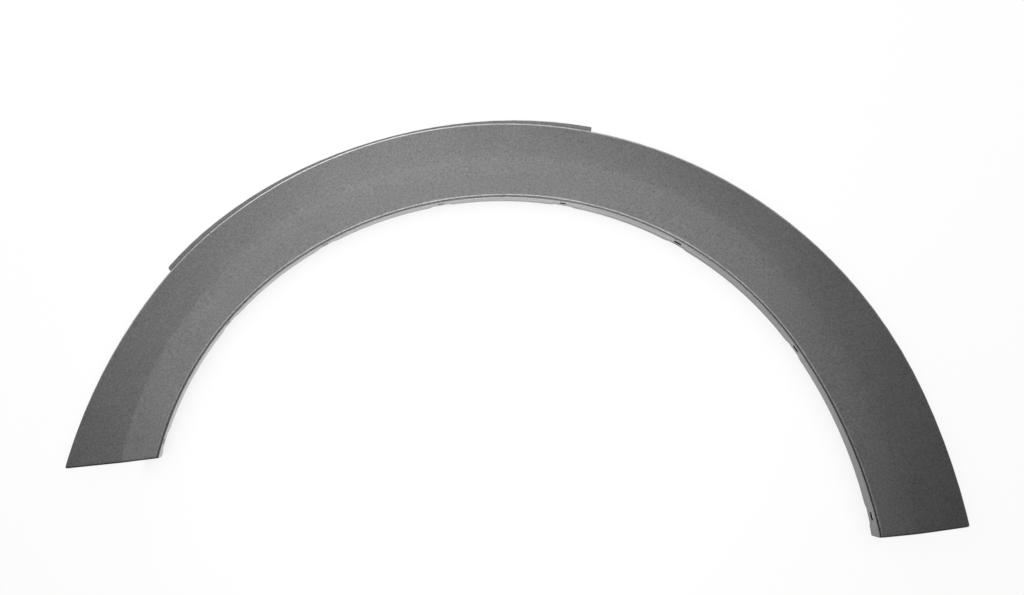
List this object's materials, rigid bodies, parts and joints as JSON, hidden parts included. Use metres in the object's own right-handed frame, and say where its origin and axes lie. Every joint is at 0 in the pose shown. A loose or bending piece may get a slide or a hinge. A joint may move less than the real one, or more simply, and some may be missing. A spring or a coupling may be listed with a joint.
{
  "type": "wheel arch trim",
  "caption": "Curved plastic trim that frames the wheel opening of a car: wide creased face, rolled rim, slotted return flange and a thin lip outside the rim.",
  "frame": {"origin": "middle of the footprint, on the plane of the hem that the trim lies on, which is the back edge of the return flange", "axes": "+X along the car, from the left leg to the right leg as seen from outside; +Y up the arch; +Z out of the car, square to the face"},
  "size_m": [0.9288, 0.428, 0.0288],
  "materials": {
    "trim_plastic": "matte graphite plastic with a fine moulded grain"
  },
  "bodies": {
    "root": {"arch_trim": "trim_plastic"}
  },
  "joints": []
}
